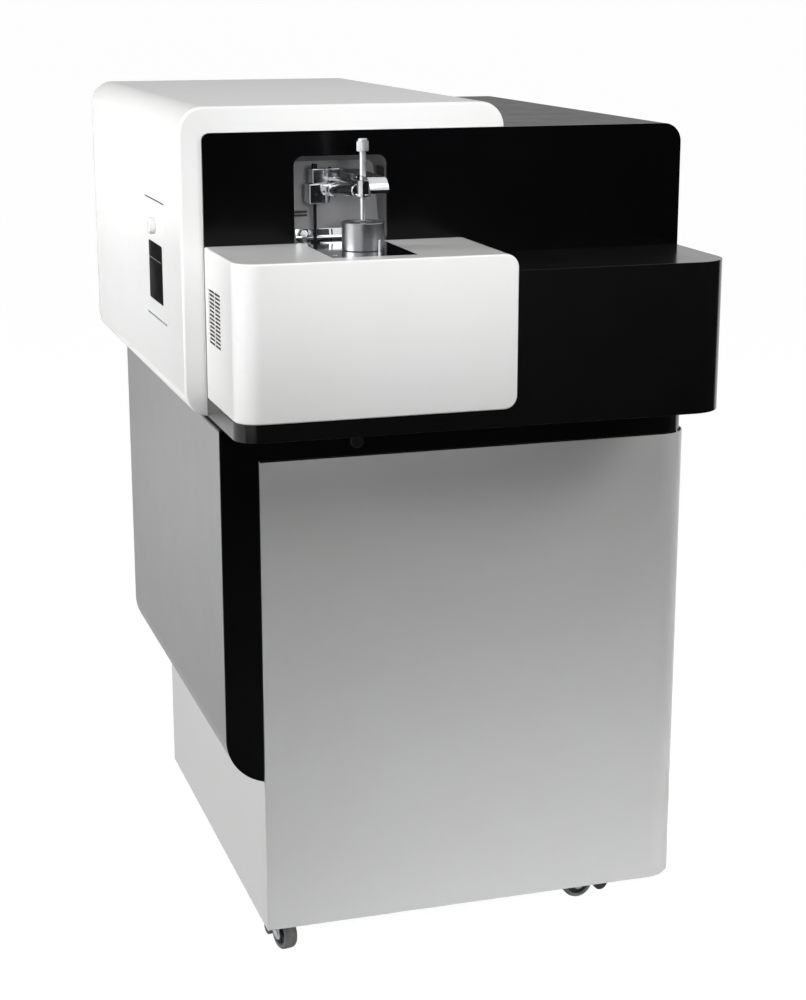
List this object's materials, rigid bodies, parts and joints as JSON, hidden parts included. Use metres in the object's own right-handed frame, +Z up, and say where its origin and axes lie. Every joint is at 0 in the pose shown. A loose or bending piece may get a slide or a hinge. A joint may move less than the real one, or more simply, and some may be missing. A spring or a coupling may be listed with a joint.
{
  "type": "alloy analyzer",
  "caption": "Floor-standing spark emission spectrometer on swivel casters: white cabinet with a front service door, black console and sample stand with a clamp, white hood and a filter hatch.",
  "frame": {"origin": "middle of the whole footprint, on the floor", "axes": "+X to the right of someone facing the front, +Y from the front to the back, +Z up"},
  "size_m": [0.759, 0.9086, 1.23],
  "materials": {
    "white_enamel": "satin powder coat, off-white",
    "grey_enamel": "satin powder coat, mid grey",
    "gloss_black": "deep black gloss",
    "dark_grey": "satin dark grey coat",
    "polished_steel": "polished stainless steel",
    "plated_steel": "zinc plated or fine ground steel",
    "cast_alloy": "bare machined casting",
    "grey_rubber": "matt grey thermoplastic rubber tread",
    "black_plastic": "fine textured black moulding",
    "white_ceramic": "fired white ceramic",
    "smoked_acrylic": "dark smoked acrylic pane"
  },
  "bodies": {
    "cabinet": {"base_shell": "white_enamel", "door_hinge_rod": "plated_steel", "front_frame": "gloss_black", "side_cover": "grey_enamel", "rear_panel_lower": "grey_enamel", "cabinet_top": "dark_grey", "caster_plate_front_left": "plated_steel", "caster_plate_front_right": "plated_steel", "caster_plate_rear_left": "plated_steel", "caster_plate_rear_right": "plated_steel", "spark_source": "plated_steel", "power_supply": "plated_steel", "argon_manifold": "cast_alloy", "argon_inlet": "plated_steel", "power_inlet": "black_plastic", "fan_housing": "black_plastic", "fan_guard": "plated_steel", "plinth": "black_plastic", "hood_shell": "white_enamel", "rear_panel_upper": "grey_enamel", "right_cover": "dark_grey", "fascia": "gloss_black", "console_body": "gloss_black", "stand_cover": "white_enamel", "recess_liner": "grey_enamel", "stand_table": "polished_steel", "spark_chamber": "cast_alloy", "electrode": "polished_steel", "insulator_ring": "white_ceramic", "test_sample": "plated_steel", "clamp_column": "dark_grey", "filter_hinge_pin": "plated_steel", "filter_pocket": "black_plastic", "filter_canister": "polished_steel", "optics_tub": "cast_alloy", "optics_lid": "cast_alloy", "light_tube": "cast_alloy", "detector_housing": "dark_grey"},
    "service_door": {"service_door": "white_enamel"},
    "door_lock": {"door_lock": "plated_steel"},
    "clamp_arm": {"clamp_arm": "polished_steel", "arm_cover": "polished_steel"},
    "clamp_rod": {"clamp_rod": "polished_steel", "rod_knob": "plated_steel", "rod_tip": "plated_steel"},
    "filter_door": {"filter_door": "white_enamel", "filter_pane": "smoked_acrylic"},
    "filter_latch": {"filter_latch": "white_enamel"},
    "rocker_switch": {"rocker_switch": "black_plastic"},
    "fan_rotor": {"fan_rotor": "black_plastic"},
    "caster_fork_front_left": {"caster_fork_front_left": "plated_steel"},
    "caster_wheel_front_left": {"caster_wheel_front_left": "grey_rubber"},
    "brake_pedal_front_left": {"brake_pedal_front_left": "black_plastic"},
    "caster_fork_front_right": {"caster_fork_front_right": "plated_steel"},
    "caster_wheel_front_right": {"caster_wheel_front_right": "grey_rubber"},
    "brake_pedal_front_right": {"brake_pedal_front_right": "black_plastic"},
    "caster_fork_rear_left": {"caster_fork_rear_left": "plated_steel"},
    "caster_wheel_rear_left": {"caster_wheel_rear_left": "grey_rubber"},
    "caster_fork_rear_right": {"caster_fork_rear_right": "plated_steel"},
    "caster_wheel_rear_right": {"caster_wheel_rear_right": "grey_rubber"}
  },
  "joints": [
    {"name": "service_door_hinge", "type": "hinge", "parent": "cabinet", "child": "service_door", "pos_m": [0.3655, -0.22775, 0.4], "axis": [0, 0, 1], "range_deg": [0, 95]},
    {"name": "door_lock_turn", "type": "hinge", "parent": "cabinet", "child": "door_lock", "pos_m": [-0.1315, -0.26875, 0.772], "axis": [0, 1, 0], "range_deg": [0, 90]},
    {"name": "clamp_arm_swing", "type": "hinge", "parent": "cabinet", "child": "clamp_arm", "pos_m": [-0.1845, -0.25575, 1.113], "axis": [0, 0, 1], "range_deg": [-60, 30]},
    {"name": "clamp_rod_slide", "type": "slide", "parent": "clamp_arm", "child": "clamp_rod", "axis": [0, 0, 1], "range_m": [0, 0.022]},
    {"name": "filter_door_hinge", "type": "hinge", "parent": "cabinet", "child": "filter_door", "pos_m": [-0.3665, -0.0765, 0.928], "axis": [0, -1, 0], "range_deg": [0, 100]},
    {"name": "filter_latch_turn", "type": "hinge", "parent": "filter_door", "child": "filter_latch", "pos_m": [-0.3695, -0.07425, 1.056], "axis": [1, 0, 0], "range_deg": [0, 90]},
    {"name": "rocker_tilt", "type": "hinge", "parent": "cabinet", "child": "rocker_switch", "pos_m": [-0.1285, 0.42785, 0.16], "axis": [1, 0, 0], "range_deg": [-6, 6]},
    {"name": "fan_spin", "type": "hinge", "parent": "cabinet", "child": "fan_rotor", "pos_m": [0.2295, 0.40475, 0.6], "axis": [0, 1, 0], "continuous": true},
    {"name": "caster_swivel_front_left", "type": "hinge", "parent": "cabinet", "child": "caster_fork_front_left", "pos_m": [-0.2395, -0.20675, 0.06], "axis": [0, 0, 1], "continuous": true},
    {"name": "caster_roll_front_left", "type": "hinge", "parent": "caster_fork_front_left", "child": "caster_wheel_front_left", "pos_m": [-0.23534, -0.22631, 0.025], "axis": [0.9781, 0.2079, 0], "continuous": true},
    {"name": "brake_pedal_front_left", "type": "hinge", "parent": "caster_fork_front_left", "child": "brake_pedal_front_left", "pos_m": [-0.24241, -0.19306, 0.045], "axis": [0.9781, 0.2079, 0], "range_deg": [0, 15]},
    {"name": "caster_swivel_front_right", "type": "hinge", "parent": "cabinet", "child": "caster_fork_front_right", "pos_m": [0.2625, -0.19075, 0.06], "axis": [0, 0, 1], "continuous": true},
    {"name": "caster_roll_front_right", "type": "hinge", "parent": "caster_fork_front_right", "child": "caster_wheel_front_right", "pos_m": [0.24253, -0.1918, 0.025], "axis": [0.0523, -0.9986, 0], "continuous": true},
    {"name": "brake_pedal_front_right", "type": "hinge", "parent": "caster_fork_front_right", "child": "brake_pedal_front_right", "pos_m": [0.27648, -0.19002, 0.045], "axis": [0.0523, -0.9986, 0], "range_deg": [0, 15]},
    {"name": "caster_swivel_rear_left", "type": "hinge", "parent": "cabinet", "child": "caster_fork_rear_left", "pos_m": [-0.2255, 0.35625, 0.06], "axis": [0, 0, 1], "continuous": true},
    {"name": "caster_roll_rear_left", "type": "hinge", "parent": "caster_fork_rear_left", "child": "caster_wheel_rear_left", "pos_m": [-0.22897, 0.37595, 0.025], "axis": [-0.9848, -0.1736, 0], "continuous": true},
    {"name": "caster_swivel_rear_right", "type": "hinge", "parent": "cabinet", "child": "caster_fork_rear_right", "pos_m": [0.3345, 0.35625, 0.06], "axis": [0, 0, 1], "continuous": true},
    {"name": "caster_roll_rear_right", "type": "hinge", "parent": "caster_fork_rear_right", "child": "caster_wheel_rear_right", "pos_m": [0.33797, 0.37595, 0.025], "axis": [-0.9848, 0.1736, 0], "continuous": true}
  ]
}
